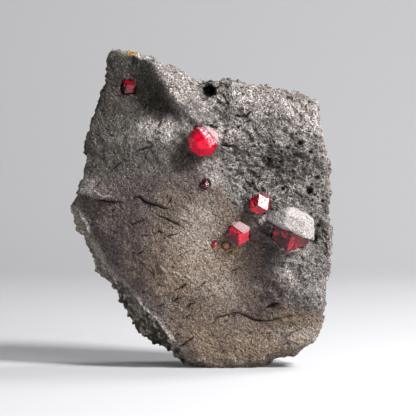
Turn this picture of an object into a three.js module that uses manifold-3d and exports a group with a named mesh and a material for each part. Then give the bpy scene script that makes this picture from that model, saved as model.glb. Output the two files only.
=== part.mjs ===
// Garnet in matrix: a hand specimen of grey, fine-grained rock with eight red garnets in its face.
// Millimetres. +Z is up, the crystals face -Y, and the origin is the middle of the footprint.

import * as THREE from "three";
import { ConvexGeometry } from "three/addons/geometries/ConvexGeometry.js";
import { ImprovedNoise } from "three/addons/math/ImprovedNoise.js";
import { mergeVertices } from "three/addons/utils/BufferGeometryUtils.js";
import Module from "manifold-3d";

const wasm = await Module();
wasm.setup();

// ---- driving dimensions ------------------------------------------------------------------------

const HUB = new THREE.Vector2(0, 38);   // the slab's outline is measured out from here, X and Z
const GRID = { wide: 32, deep: 6, high: 38 };   // how finely the slab is faceted

const FRONT_DEPTH = 12.5;      // front face, in front of the middle plane at the belly's height
const BELLY_HEIGHT = 28;       // height at which the slab is thickest
const TOP_LEAN = 4.5;          // how far the front face leans back at LEAN_HEIGHT above the belly
const LEAN_HEIGHT = 50;
const TOE_TUCK = 2;            // and how far it tucks under at the base
const EDGE_ROLL = 1.3;         // rounding of the front face's rim
const EDGE_SHARPNESS = 10;     // power that keeps the rounding close to the rim
const BACK_DEPTH = 13;         // back face, behind the middle plane
const BACK_INSET = 4;          // how far the back's rim stands inside the widest outline
const FOOT_SWELL = 3.2;        // the underside's belly, which the flat base cuts off
const FOOT_REACH = 8;          // height up to which that belly shows
const FOOT_SHARPNESS = 4;      // power that keeps it close to the rim

const FRONT_GRAIN = 6.5;       // size of the broken surface's lumps on the front
const BACK_GRAIN = 10.4;       // on the back
const SIDE_GRAIN = 5.2;        // and on the sides
const FRONT_ROUGHNESS = 0.55;  // height of the front's lumps
const BACK_ROUGHNESS = 0.8;    // of the back's
const SIDE_ROUGHNESS = { across: 0.576, up: 0.48 };   // and of the sides', along X and Z
const FINE_LUMPS = { finer: 2.3, height: 0.45 };      // the second, finer layer of lumps

// How far through the slab, from 0 at the front to 1 at the back, a side is at its widest.
const WIDEST = { plain: 0.2, perBevel: 0.11, most: 0.75 };

const SOCKET_GAP = 0.3;        // clearance between a crystal and the rock that holds it

// The slab's widest outline, clockwise from the horn's tip: X, Z, and how far the front face's rim
// stands inside it. The lower left side slants outwards to the back.
const OUTLINE = [
  [-22.8, 79.8, 0.6], [-18.5, 79.0, 0.9], [-13.1, 77.2, 1.0], [-9.8, 75.4, 1.0],
  [-3.1, 72.7, 0.8], [-0.6, 71.9, 0.6], [1.6, 71.8, 0.6], [4.4, 72.2, 0.8],
  [11.0, 70.8, 0.8], [21.0, 69.4, 0.8], [27.6, 67.7, 0.8], [29.0, 65.4, 0.8],
  [29.6, 60.2, 0.8], [31.5, 51.1, 0.8], [32.1, 42.0, 0.8], [31.8, 37.7, 0.8],
  [32.6, 32.7, 0.8], [31.9, 25.2, 0.8], [30.2, 17.7, 0.8], [30.1, 10.6, 0.8],
  [28.4, 6.7, 0.8], [23.1, 4.2, 0.8], [17.6, 3.0, 0.8], [14.4, 1.0, 0.6],
  [4.4, 0.0, 0.6], [-2.6, 1.2, 1.4], [-7.6, 4.0, 3.2], [-13.9, 6.2, 5.0],
  [-18.1, 10.2, 6.0], [-21.5, 16.8, 5.6], [-26.1, 22.5, 5.0], [-29.2, 29.2, 4.4],
  [-31.6, 33.5, 3.6], [-32.6, 39.5, 1.2], [-30.9, 44.4, 0.6], [-29.4, 49.0, 0.6],
  [-29.2, 57.0, 0.6], [-27.0, 63.7, 0.6], [-24.4, 71.7, 0.6], [-23.6, 77.0, 0.6],
];

// Swells and hollows of the front face: middle X and Z, reach along X and Z, and height.
const RELIEF = [
  { about: "crown left of the middle", at: [-8, 32], reach: [12, 22], height: 2.4 },
  { about: "lower right swell", at: [23, 21], reach: [8, 8], height: 2.6 },
  { about: "valley below the biggest garnet", at: [13, 18], reach: [6, 12], height: -1.6 },
  { about: "upper right shoulder", at: [15, 60], reach: [13, 8], height: 2.0 },
  { about: "pitted hollow", at: [17, 47], reach: [12, 5], height: -1.4 },
  { about: "boss around the biggest garnet", at: [21.5, 35], reach: [6.5, 6], height: 2.2 },
  { about: "dark pocket beside it", at: [28.5, 32.5], reach: [2.6, 4], height: -2.6 },
  { about: "scoop in the horn", at: [-14, 67], reach: [7.5, 6], height: -4.2 },
  { about: "shelf under the scoop", at: [-8, 57], reach: [9, 5], height: 1.6 },
  { about: "fall to the notch", at: [1, 71], reach: [5.5, 7], height: -2.8 },
  { about: "collar of the large garnet", at: [2.6, 58.6], reach: [4, 4], height: 1.3 },
  { about: "hollow under the large garnet", at: [-4, 52.5], reach: [4, 3.5], height: -1.2 },
  { about: "collar of the small garnet", at: [2.2, 47], reach: [2, 2], height: 0.9 },
  { about: "left ledge", at: [-28, 45], reach: [4.5, 4], height: 1.2 },
  { about: "fall to the left side", at: [-30, 28], reach: [11, 20], height: -2.2 },
];

// The crest that bounds the scoop on its right, as a line on the front face.
const CREST = { from: [-14, 78], to: [-2, 62], reach: 3.4, height: 2.8 };

// Planes that the back is broken along: depth at the hub, and fall per millimetre of X and Z.
const BREAKS = [
  { depth: 13, fallX: 0.02, fallZ: 0.05 },
  { depth: 15, fallX: 0.28, fallZ: 0.06 },
  { depth: 15.5, fallX: -0.24, fallZ: 0.02 },
  { depth: 16, fallX: 0.05, fallZ: 0.22 },
  { depth: 16.5, fallX: -0.04, fallZ: -0.16 },
];

// Corners and faces of a garnet, by the crystal axis that they lie on.
const AXES = {
  fourfold: new THREE.Vector3(1, 0, 0),
  threefold: new THREE.Vector3(1, 1, 1),
  face: new THREE.Vector3(1, 1, 0),
};

// The crystals. radius is centre to fourfold corner, proud is how far the centre stands in front of
// the rock, and aim is the feature that points along toward. roll is the angle on the face, counter-
// clockwise from +X in degrees, at which the crystal's own Z axis then shows.
const GARNETS = [
  { name: "garnet_horn", habit: "dodecahedron", at: [-18.4, 70.1], radius: 2.4, proud: -0.9,
    aim: "threefold", toward: [-0.2, -1, 0.1], roll: 125, colour: 0x7a0a22 },
  { name: "garnet_large", habit: "trapezohedron", at: [0.2, 56.6], radius: 3.95, proud: 1.3,
    aim: "fourfold", toward: [0.15, -1, 0.25], roll: 30, colour: 0xc20f1c },
  { name: "garnet_small", habit: "dodecahedron", at: [0.7, 46.0], radius: 1.2, proud: 0.1,
    aim: "threefold", toward: [-0.1, -1, 0.1], roll: 70, colour: 0xa8142e },
  { name: "garnet_bright", habit: "dodecahedron", at: [14.3, 41.2], radius: 3.1, proud: 1.0,
    aim: "threefold", toward: [-0.25, -1, -0.1], roll: 90, colour: 0xb8122a },
  { name: "garnet_capped", habit: "dodecahedron", at: [9.0, 33.8], radius: 3.35, proud: 0.8,
    aim: "threefold", toward: [-0.05, -1, -0.1], roll: 155, colour: 0xb3101f },
  { name: "garnet_hooded", habit: "dodecahedron", at: [21.9, 34.5], radius: 5.95, proud: 0.6,
    aim: "threefold", toward: [0, -1, 0], roll: 137, colour: 0x8f0d1d },
  { name: "garnet_tiny", habit: "trapezohedron", at: [3.0, 31.2], radius: 0.62, proud: 0.1,
    aim: "fourfold", toward: [0, -1, 0.2], roll: 15, colour: 0xb0183a },
  { name: "garnet_buried", habit: "trapezohedron", at: [5.8, 30.9], radius: 0.85, proud: -0.25,
    aim: "fourfold", toward: [0, -1, 0.1], roll: 40, colour: 0x8e2418 },
];

// The crust of matrix over the biggest garnet, as corners measured from the crystal's centre:
// X, forwards out of the face, and Z.
const HOOD_CORNERS = [
  [-6.8, 1.0, 3.0], [-5.2, 1.6, 4.4], [-2.4, 3.3, 5.5], [0.0, 3.2, 6.1],
  [3.7, 3.6, 4.2], [5.4, 4.1, 2.5], [5.4, 2.5, -2.3], [2.9, 5.8, -1.4],
  [-1.9, 6.1, 1.4], [-4.6, 4.4, 2.0], [-1.2, 5.4, 4.5], [3.4, 5.2, 2.3],
  [-5.0, -3, 4.0], [1.0, -3, 6.0], [5.8, -3, 3.0], [5.8, -3, -2.2],
];

const MATRIX_COLOUR = 0x7d7470;
const CUTTER = 120;   // edge of the block that cuts the base flat

// ---- solids ------------------------------------------------------------------------------------

// A three.js geometry as a manifold solid: only its merged positions count.
function toSolid(geometry) {
  const bare = new THREE.BufferGeometry();
  bare.setAttribute("position", geometry.getAttribute("position").clone());
  if (geometry.index) {
    bare.setIndex(geometry.index.clone());
  }
  const merged = mergeVertices(bare, 1e-4);
  return new wasm.Manifold(new wasm.Mesh({
    numProp: 3,
    vertProperties: new Float32Array(merged.getAttribute("position").array),
    triVerts: new Uint32Array(merged.index.array),
  }));
}

function toGeometry(solid) {
  const mesh = solid.getMesh();
  const geometry = new THREE.BufferGeometry();
  geometry.setAttribute("position", new THREE.BufferAttribute(mesh.vertProperties, mesh.numProp));
  geometry.setIndex(new THREE.BufferAttribute(mesh.triVerts, 1));
  geometry.computeVertexNormals();
  return geometry;
}

// ---- the slab's shape --------------------------------------------------------------------------

const lumps = new ImprovedNoise();

// Broken-rock noise, from about -1 to 1, with lumps of the given size.
function broken(x, y, z, size) {
  const coarse = lumps.noise(x / size, y / size, z / size);
  const step = size / FINE_LUMPS.finer;
  const fine = lumps.noise(x / step, y / step + 7, z / step);
  return coarse + FINE_LUMPS.height * fine;
}

function swell(x, z, { at, reach, height }) {
  const across = (x - at[0]) / reach[0];
  const up = (z - at[1]) / reach[1];
  return height * Math.exp(-(across * across + up * up));
}

function crestHeight(x, z) {
  const from = new THREE.Vector2(...CREST.from);
  const along = new THREE.Vector2(...CREST.to).sub(from);
  const point = new THREE.Vector2(x, z).sub(from);
  const fraction = THREE.MathUtils.clamp(point.dot(along) / along.lengthSq(), 0, 1);
  const away = point.addScaledVector(along, -fraction).length() / CREST.reach;
  return CREST.height * Math.exp(-away * away);
}

// How far the front face stands in front of the middle plane.
function frontDepth(x, z) {
  const rise = z - BELLY_HEIGHT;
  const above = TOP_LEAN * (rise / LEAN_HEIGHT) ** 2;
  const below = TOE_TUCK * (rise / BELLY_HEIGHT) ** 2;
  const swells = RELIEF.reduce((sum, form) => sum + swell(x, z, form), 0);
  const lumpy = FRONT_ROUGHNESS * broken(x, 0, z, FRONT_GRAIN);
  return FRONT_DEPTH - (rise > 0 ? above : below) + swells + crestHeight(x, z) + lumpy;
}

// How far the back stands behind the middle plane: the nearest of its break planes.
function backDepth(x, z) {
  const planes = BREAKS.map(({ depth, fallX, fallZ }) => depth - fallX * x - fallZ * (z - HUB.y));
  return Math.min(BACK_DEPTH, ...planes) + BACK_ROUGHNESS * broken(x, 30, z, BACK_GRAIN);
}

// Where a point on the unit square's edge falls along its perimeter, from the top left, clockwise.
function perimeterFraction(u, w) {
  const { wide, high } = GRID;
  const whole = 2 * (wide + high);
  if (w >= 1 - 1e-6) {
    return wide * (u + 1) / 2 / whole;
  }
  if (u >= 1 - 1e-6) {
    return (wide + high * (1 - w) / 2) / whole;
  }
  if (w <= -1 + 1e-6) {
    return (wide + high + wide * (1 - u) / 2) / whole;
  }
  return (2 * wide + high + high * (w + 1) / 2) / whole;
}

const rimPoints = OUTLINE.map(([x, z, bevel]) => new THREE.Vector3(x, z, bevel));
const rim = new THREE.CatmullRomCurve3(rimPoints, true, "catmullrom", 0.3);
rim.arcLengthDivisions = 2000;

// How far a side stands inside the widest outline: through is 0 at the front and 1 at the back.
function sideInset(through, bevel) {
  const widest = Math.min(WIDEST.most, WIDEST.plain + WIDEST.perBevel * bevel);
  if (through < widest) {
    return bevel * (1 - through / widest);
  }
  return BACK_INSET * ((through - widest) / (1 - widest)) ** 2;
}

// A corner of the unit block, moved to its place on the slab.
function placeOnSlab(block) {
  const ring = Math.max(Math.abs(block.x), Math.abs(block.z));
  const through = (block.y + 1) / 2;
  if (ring < 1e-6) {
    const y = THREE.MathUtils.lerp(-frontDepth(HUB.x, HUB.y), backDepth(HUB.x, HUB.y), through);
    return new THREE.Vector3(HUB.x, y, HUB.y);
  }
  const edge = rim.getPointAt(perimeterFraction(block.x / ring, block.z / ring) % 1);
  const arm = new THREE.Vector2(edge.x, edge.y).sub(HUB);
  const inset = sideInset(through, edge.z);
  const { x, y: z } = HUB.clone().addScaledVector(arm, ring * (1 - inset / arm.length()));
  const front = frontDepth(x, z) - EDGE_ROLL * ring ** EDGE_SHARPNESS;
  const y = THREE.MathUtils.lerp(-front, backDepth(x, z), through);
  const foot = FOOT_SWELL * Math.sin(Math.PI * through) * Math.max(0, 1 - z / FOOT_REACH);
  return new THREE.Vector3(x, y, z - ring ** FOOT_SHARPNESS * foot);
}

// Loosens the slab's sides into broken rock; the front and the back are rough already.
function roughenSide(point, through) {
  const amount = Math.sin(Math.PI * through);
  const { across, up } = SIDE_ROUGHNESS;
  point.x += amount * across * broken(point.x, point.y + 50, point.z, SIDE_GRAIN);
  point.z += amount * up * broken(point.x, point.y - 50, point.z, SIDE_GRAIN);
  return point;
}

function slabGeometry() {
  const block = new THREE.BoxGeometry(2, 2, 2, GRID.wide, GRID.deep, GRID.high);
  const corners = block.getAttribute("position");
  const corner = new THREE.Vector3();
  for (let i = 0; i < corners.count; i += 1) {
    corner.fromBufferAttribute(corners, i);
    const placed = roughenSide(placeOnSlab(corner), (corner.y + 1) / 2);
    corners.setXYZ(i, placed.x, placed.y, placed.z);
  }
  return block;
}

// ---- crystals ----------------------------------------------------------------------------------

// Every corner that the three coordinates make with each order and sign.
function corners(a, b, c) {
  const found = new Map();
  for (const [x, y, z] of [[a, b, c], [b, c, a], [c, a, b]]) {
    for (const sign of [[1, 1], [1, -1], [-1, 1], [-1, -1]]) {
      for (const flip of [1, -1]) {
        const corner = new THREE.Vector3(flip * x, sign[0] * y, sign[1] * z);
        found.set(corner.toArray().map((value) => value + 0).join(), corner);
      }
    }
  }
  return [...found.values()];
}

// The two forms that garnet grows in, with their fourfold corners at distance 1.
const HABITS = {
  dodecahedron: [...corners(1, 0, 0), ...corners(1 / 2, 1 / 2, 1 / 2)],
  trapezohedron: [...corners(1, 0, 0), ...corners(2 / 3, 2 / 3, 0), ...corners(1 / 2, 1 / 2, 1 / 2)],
};

// Centre to face, as a share of the radius.
const FACE_DISTANCE = { dodecahedron: Math.SQRT1_2, trapezohedron: 2 / Math.sqrt(6) };

// A crystal of the given habit, grown outwards so that every face stands `grown` further out.
function crystalGeometry({ habit, radius }, grown = 0) {
  const size = radius + grown / FACE_DISTANCE[habit];
  return new ConvexGeometry(HABITS[habit].map((corner) => corner.clone().multiplyScalar(size)));
}

function crystalTurn({ aim, toward, roll }) {
  const outwards = new THREE.Vector3(...toward).normalize();
  const turn = new THREE.Quaternion().setFromUnitVectors(AXES[aim].clone().normalize(), outwards);
  const shown = new THREE.Vector3(0, 0, 1).applyQuaternion(turn);
  const missing = THREE.MathUtils.degToRad(roll) - Math.atan2(shown.z, shown.x);
  return turn.premultiply(new THREE.Quaternion().setFromAxisAngle(outwards, missing));
}

function crystalCentre({ at, proud }) {
  const [x, z] = at;
  return new THREE.Vector3(x, -frontDepth(x, z) - proud, z);
}

function makeGarnet(spec) {
  const material = new THREE.MeshStandardMaterial({ color: spec.colour, roughness: 0.12 });
  const mesh = new THREE.Mesh(crystalGeometry(spec), material);
  mesh.name = spec.name;
  mesh.position.copy(crystalCentre(spec));
  mesh.quaternion.copy(crystalTurn(spec));
  return mesh;
}

function socket(spec) {
  const place = new THREE.Matrix4().compose(
    crystalCentre(spec), crystalTurn(spec), new THREE.Vector3(1, 1, 1));
  return toSolid(crystalGeometry(spec, SOCKET_GAP).applyMatrix4(place));
}

// ---- matrix ------------------------------------------------------------------------------------

function hood() {
  const centre = crystalCentre(GARNETS.find(({ name }) => name === "garnet_hooded"));
  const points = HOOD_CORNERS.map(([x, forwards, z]) => new THREE.Vector3(x, -forwards, z).add(centre));
  return toSolid(new ConvexGeometry(points));
}

function makeMatrix() {
  const below = new THREE.BoxGeometry(CUTTER, CUTTER, CUTTER).translate(0, 0, -CUTTER / 2);
  const slab = toSolid(slabGeometry()).subtract(toSolid(below)).add(hood());
  const rock = GARNETS.reduce((solid, spec) => solid.subtract(socket(spec)), slab);
  const material = new THREE.MeshStandardMaterial({
    color: MATRIX_COLOUR,
    roughness: 0.95,
    flatShading: true,
  });
  const mesh = new THREE.Mesh(toGeometry(rock), material);
  mesh.name = "matrix";
  return mesh;
}

// ---- the specimen ------------------------------------------------------------------------------

const pieces = new THREE.Group();
pieces.add(makeMatrix());
for (const spec of GARNETS) {
  pieces.add(makeGarnet(spec));
}

// Moves the origin to the middle of the whole specimen's footprint.
const middle = new THREE.Box3().setFromObject(pieces, true).getCenter(new THREE.Vector3());
pieces.position.set(-middle.x, -middle.y, 0);

const specimen = new THREE.Group();
specimen.add(pieces);

export default specimen;
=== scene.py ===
"""Garnet in matrix: the finished rock and crystals of a hand specimen, built around its solids.

Every size in the comments and tables below is in millimetres unless it says otherwise; the scene
is in metres. +Z is up, and the crystals face -Y.
"""

import itertools
import math

import bmesh
import bpy
import numpy as np
from mathutils import Matrix, Vector


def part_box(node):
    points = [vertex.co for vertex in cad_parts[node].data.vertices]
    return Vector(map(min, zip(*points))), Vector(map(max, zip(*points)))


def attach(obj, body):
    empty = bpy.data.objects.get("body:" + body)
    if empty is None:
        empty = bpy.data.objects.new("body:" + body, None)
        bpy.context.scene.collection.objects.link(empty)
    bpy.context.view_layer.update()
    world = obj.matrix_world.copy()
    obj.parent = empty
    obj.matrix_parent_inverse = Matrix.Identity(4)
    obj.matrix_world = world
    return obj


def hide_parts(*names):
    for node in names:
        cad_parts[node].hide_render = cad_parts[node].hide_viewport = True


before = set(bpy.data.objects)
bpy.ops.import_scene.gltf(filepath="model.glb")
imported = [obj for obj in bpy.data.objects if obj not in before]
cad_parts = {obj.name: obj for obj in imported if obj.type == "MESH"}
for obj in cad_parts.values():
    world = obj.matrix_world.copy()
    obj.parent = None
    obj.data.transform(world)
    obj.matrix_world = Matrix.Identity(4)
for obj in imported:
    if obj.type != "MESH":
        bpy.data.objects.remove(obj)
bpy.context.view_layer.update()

bl_info = {
    "name": "Garnet in matrix",
    "version": (1, 0, 0),
    "blender": (4, 5, 0),
    "location": "View3D > Sidebar > Specimen",
    "description": "Builds a garnet specimen's rock, crystals and studio around its solids",
    "category": "Add Mesh",
}

MM = 0.001
BODY = "root"

MOST_TRIANGLES = 186000   # in the rock, before its sockets are cut
THINNED_BEHIND = 0.65     # share of the sides' and the back's faces that the rock can spare
BASE_LAYER = 0.2          # height up to which the rock is its flat base
SAME_PLACE = 0.002        # most distance between points that are one point
SAME_FACE = 2.0           # most angle between triangles of one crystal face, in degrees
MOST_WEAR = 0.03          # most width of a crystal's worn edges, as a share of its diagonal
FLAW_SIZE = 1.5           # width of the flat flaws inside the garnets

# The inputs of a Mix node that mixes colours, how much and then the two colours, and its output.
# They go by number because its inputs for numbers have the same names.
COLOUR_MIX_INPUTS = (0, 6, 7)
COLOUR_MIX_OUTPUT = 2

GARNETS = (
    "garnet_horn", "garnet_large", "garnet_small", "garnet_bright",
    "garnet_capped", "garnet_hooded", "garnet_tiny", "garnet_buried",
)


def linear(hex_colour):
    """An sRGB hex colour as linear red, green and blue."""
    channels = [int(hex_colour[i:i + 2], 16) / 255 for i in (1, 3, 5)]
    return tuple(
        c / 12.92 if c <= 0.04045 else ((c + 0.055) / 1.055) ** 2.4 for c in channels
    )


# ---- the rock's map, on the front face: X and Z ------------------------------------------------

# Right of this line the rock is pale and full of small gas holes; left of it is a smooth skin.
PALE_EDGE = ((0, 34), (9, 33), (13, 30), (16.5, 21.5), (19, 18.5), (25, 17), (31, 15), (37, 11.5),
             (42, 8), (48, 4.5), (56, 2.5), (62, -2), (67, -6), (72, -9), (80, -13))

# Open cracks: the points along each one, its width and its depth.
CRACKS = (
    ([(-26.4, 42.1), (-22.9, 41.7), (-19.9, 41.5)], 0.30, 1.0),
    ([(-17.4, 42.4), (-16.0, 42.9), (-13.4, 41.3), (-9.9, 40.1), (-8.1, 40.1)], 0.28, 0.9),
    ([(-8.6, 41.1), (-8.1, 42.4)], 0.20, 0.5),
    ([(-11.6, 38.6), (-9.4, 37.6), (-6.9, 36.4), (-4.9, 35.4)], 0.24, 0.8),
    ([(-17.6, 36.0), (-14.4, 37.4)], 0.22, 0.6),
    ([(-10.4, 32.6), (-7.4, 33.6), (-5.9, 34.1)], 0.24, 0.8),
    ([(-18.9, 29.1), (-16.4, 29.1)], 0.16, 0.4),
    ([(-16.4, 28.6), (-14.9, 29.4)], 0.16, 0.4),
    ([(-10.8, 28.9), (-9.6, 29.9)], 0.16, 0.4),
    ([(-7.9, 16.6), (-6.1, 17.9), (-4.6, 18.1)], 0.26, 0.8),
    ([(-11.6, 15.6), (-10.0, 16.4)], 0.22, 0.6),
    ([(1.6, 10.9), (4.1, 13.1), (8.9, 14.0), (12.4, 12.3), (15.6, 11.9), (22.6, 13.6)], 0.24, 0.8),
    ([(8.2, 13.9), (6.9, 12.4)], 0.16, 0.5),
    ([(11.6, 12.7), (13.1, 12.0)], 0.34, 1.0),
    ([(-6.4, 4.9), (-4.4, 6.6), (-2.5, 7.9)], 0.22, 0.6),
    ([(-4.6, 12.6), (-3.4, 13.9)], 0.18, 0.5),
    ([(15.6, 15.4), (17.4, 16.1), (18.6, 16.4)], 0.42, 1.2),
    ([(0.9, 60.6), (3.6, 60.1)], 0.45, 1.3),
    ([(7.9, 62.9), (10.5, 62.8), (11.6, 63.9)], 0.42, 1.2),
    ([(9.9, 61.1), (12.4, 62.0)], 0.26, 0.8),
    ([(15.6, 52.6), (17.1, 51.4)], 0.46, 1.2),
    ([(4.4, 55.7), (7.4, 55.3)], 0.40, 1.2),
    ([(20.4, 8.1), (24.5, 10.2)], 0.18, 0.5),
    ([(-26.8, 45.2), (-25.2, 46.8)], 0.22, 0.5),
    ([(-23.4, 48.6), (-20.6, 51.2), (-18.4, 52.6)], 0.20, 0.5),
    ([(-17.4, 53.6), (-14.6, 54.9), (-12.4, 55.3)], 0.24, 0.6),
    ([(-22.0, 38.6), (-20.8, 37.4)], 0.14, 0.3),
    ([(-15.4, 33.4), (-12.8, 33.0)], 0.14, 0.3),
    ([(-6.8, 29.4), (-5.4, 30.4), (-4.6, 30.2)], 0.16, 0.4),
    ([(-13.4, 24.6), (-11.8, 23.4)], 0.14, 0.3),
    ([(1.0, 17.6), (2.6, 18.6)], 0.16, 0.3),
    ([(6.8, 24.4), (8.6, 25.2)], 0.14, 0.3),
    ([(14.2, 20.0), (15.6, 21.2)], 0.16, 0.3),
    ([(-12.2, 20.6), (-10.6, 21.2)], 0.20, 0.5),
    ([(-7.2, 19.6), (-5.4, 20.4), (-4.2, 21.4)], 0.24, 0.6),
    ([(-2.2, 19.9), (-0.6, 20.8), (0.6, 21.9)], 0.22, 0.5),
    ([(-4.6, 15.0), (-3.4, 16.2), (-2.0, 16.6)], 0.22, 0.6),
    ([(1.2, 15.2), (2.8, 16.2)], 0.18, 0.4),
    ([(-12.9, 33.6), (-11.0, 34.4), (-10.0, 34.2)], 0.22, 0.6),
    ([(-6.6, 26.6), (-5.2, 27.2)], 0.16, 0.4),
)

# Crumbly light flecks in the skin: the points along each one.
FLECKS = (
    [(-10.6, 25.7), (-9.5, 24.6)],
    [(-8.4, 24.4), (-6.8, 24.2), (-5.6, 23.4)],
    [(-4.0, 23.4), (-2.6, 22.2)],
    [(-9.2, 21.8), (-8.0, 21.4)],
    [(-1.4, 20.6), (0.2, 20.0)],
    [(-27.6, 45.0), (-25.6, 43.4), (-22.4, 42.9)],
    [(-6.4, 38.2), (-4.2, 37.2)],
    [(-12.6, 58.2), (-10.4, 57.4)],
)

# Edges of raised layers: the points along each one, and how far the rock above it stands out.
LEDGES = (
    ([(-31.5, 43.5), (-29.4, 43.2), (-26.4, 42.3), (-19.9, 41.7)], 1.5),
    ([(4.6, 55.9), (7.6, 55.4), (11.8, 53.2)], 0.8),
    ([(-17.4, 42.6), (-13.4, 41.5), (-8.9, 40.3)], 0.35),
    ([(-4.0, 11.0), (4.1, 13.2), (8.9, 14.2), (12.4, 12.5), (15.6, 12.1), (23.0, 13.9)], 0.3),
    ([(1.5, 63.0), (7.5, 64.8), (12.0, 64.2)], 0.45),
    ([(17.0, 29.5), (20.0, 26.8), (25.5, 25.6)], 0.5),
)

# The arris between the front and the layered flank at the lower left, from the top down.
ARRIS = [(-32.6, 42.0), (-30.8, 39.2), (-28.9, 35.7), (-26.7, 30.7), (-23.7, 25.7), (-20.2, 21.7),
         (-17.9, 18.9), (-14.7, 15.7), (-11.6, 12.6), (-8.4, 8.4), (-6.5, 5.0), (-3.0, 2.6)]

# Painted highlights along the edges that face the light, the top edge and the arris below the horn: the
# points along each one, its width and strength.
RIM_HIGHLIGHTS = (
    ([(-22.6, 79.4), (-18.5, 78.5), (-13.1, 76.8), (-9.8, 75.0), (-3.1, 72.3), (0.6, 71.5)], 0.8, 0.9),
    ([(-11.4, 75.4), (-9.2, 73.1), (-8.0, 70.0), (-6.5, 66.9), (-3.1, 63.3), (-0.8, 61.9)], 0.6, 0.7),
    ([(3.0, 71.8), (11.0, 70.6), (21.0, 69.2), (27.4, 67.5), (28.8, 65.2)], 0.6, 0.6),
)

# Sharp arrises: the points along each one, how far its slopes reach and its height.
RIDGES = (
    ([(-14.2, 78.0), (-11.6, 74.2), (-9.6, 71.0), (-7.4, 68.0), (-4.6, 65.2), (-1.6, 62.6)], 1.8, 1.1),
    ([(-11.0, 60.6), (-7.0, 60.2), (-3.6, 58.4)], 1.6, 0.5),
    ([(24.0, 68.2), (27.2, 63.0), (28.4, 57.0)], 1.6, 0.5),
    ([(15.4, 22.8), (18.8, 27.4), (22.6, 28.4)], 1.6, 0.5),
)

# The kind of each crystal: clear and flawed ones are glassy, the etched one has powdery faces, deep
# and dark ones are dark inside and the dull one is stained brown.
KINDS = {
    "garnet_horn": "dark", "garnet_large": "etched", "garnet_small": "dark",
    "garnet_bright": "clear", "garnet_capped": "flawed", "garnet_hooded": "deep",
    "garnet_tiny": "clear", "garnet_buried": "dull",
}

# The looks of those kinds. The colour of their veils; how much of them is bright whichever way they face;
# how much painted light, as if lit through, lies on the faces that look a given way, and that way; the
# share of frost on the upper right faces, which look toward the key light, so that it is partly etching and
# partly painted highlight; roughness; clarity; the height of the growth steps; and the strength of the
# reflections.
LOOKS = {
    "clear": {"veil": "veil", "flash": 1.0, "painted_glow": 0.5, "way": (-0.3, -0.8, -0.5), "frost": 0.25,
              "rough": 0.05, "clarity": 0.5, "steps": 0.07, "gloss": 0.3},
    "flawed": {"veil": "veil", "flash": 0.9, "painted_glow": 0.6, "way": (0.8, -0.5, -0.2), "frost": 0.25,
               "rough": 0.08, "clarity": 0.5, "steps": 0.15, "gloss": 0.1},
    "etched": {"veil": "veil", "flash": 0.8, "painted_glow": 0.8, "way": (-0.4, -0.8, -0.45), "frost": 1.0,
               "rough": 0.2, "clarity": 0.25, "steps": 0.3, "gloss": 0.05},
    "deep": {"veil": "wine", "flash": 0.9, "painted_glow": 0.15, "way": (0.7, -0.6, -0.3), "frost": 0.0,
             "rough": 0.08, "clarity": 0.5, "steps": 0.2, "gloss": 0.07},
    "dark": {"veil": "wine", "flash": 0.35, "painted_glow": 0.1, "way": (0.7, -0.6, -0.3), "frost": 0.0,
             "rough": 0.1, "clarity": 0.6, "steps": 0.2, "gloss": 0.12},
    "dull": {"veil": "dull", "flash": 0.0, "painted_glow": 0.0, "way": (1.0, 0.0, 0.0), "frost": 0.0,
             "rough": 0.5, "clarity": 0.2, "steps": 0.2, "gloss": 0.1},
}

# The crystals whose edges are worn round.
ROUNDED = ("garnet_large", "garnet_small", "garnet_horn", "garnet_buried")

# Thin crusts left on crystals. Each plane keeps what lies to its side: X and Z of a point on it,
# from the crystal's middle, and the angle on the face, from +X, that it faces.
CRUSTS = {
    "garnet_capped": ((-0.4, 1.3, 54.8), (1.3, 0.1, 122.5)),
    "garnet_large": ((2.0, 1.8, 42.0),),
}

# Single holes, larger than the rest: X, Z, radius, depth.
HOLES = (
    (24.0, 56.1, 0.9, 1.6), (26.4, 53.9, 0.55, 1.2), (26.4, 44.6, 0.95, 1.8),
    (19.6, 44.8, 0.6, 1.0), (28.2, 47.6, 0.7, 1.2), (5.2, 67.6, 0.4, 0.8),
    (27.6, 32.2, 1.2, 1.6), (28.6, 35.6, 0.9, 1.2), (8.6, 60.1, 0.45, 0.8),
    (12.2, 46.2, 0.45, 0.8), (2.9, 29.3, 0.3, 0.4), (29.6, 41.8, 0.5, 0.9),
)

# Soft patches of lighter rock mixed with painted light, on surfaces that face the key light and on the
# collars that catch it: middle X and Z, reach along X and Z, and strength.
PALE_AND_LIT_PATCHES = (
    (-5.0, 69.5, 4.2, 5.0, 1.0),      # saddle right of the crest
    (-9.0, 59.8, 6.5, 2.8, 0.9),      # shelf under the scoop
    (-16.0, 57.5, 6.0, 2.2, 0.35),    # and its left end
    (3.6, 58.6, 3.0, 2.8, 1.0),       # collar of the large garnet
    (2.9, 47.2, 1.9, 1.9, 0.9),       # collar of the small garnet
    (0.5, 50.8, 2.4, 1.6, 0.6),       # rock between those two
    (-1.5, 33.0, 6.5, 8.0, 0.35),     # crown left of the middle
    (4.0, 22.0, 7.0, 5.0, 0.25),      # and below it
    (14.0, 68.0, 13.0, 3.8, 0.9),     # along the top
    (26.0, 64.0, 4.4, 5.5, 0.85),     # top right corner
    (30.4, 56.0, 1.4, 5.0, 0.5),      # right edge
    (20.0, 24.5, 4.0, 3.0, 0.35),     # lower right swell
    (15.6, 36.4, 2.6, 1.6, 0.7),      # tip of the crust over the biggest garnet
    (24.0, 8.0, 6.0, 3.0, 0.35),      # lower right foot
    (-28.6, 45.2, 2.6, 2.2, 0.45),    # left ledge
)
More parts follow.
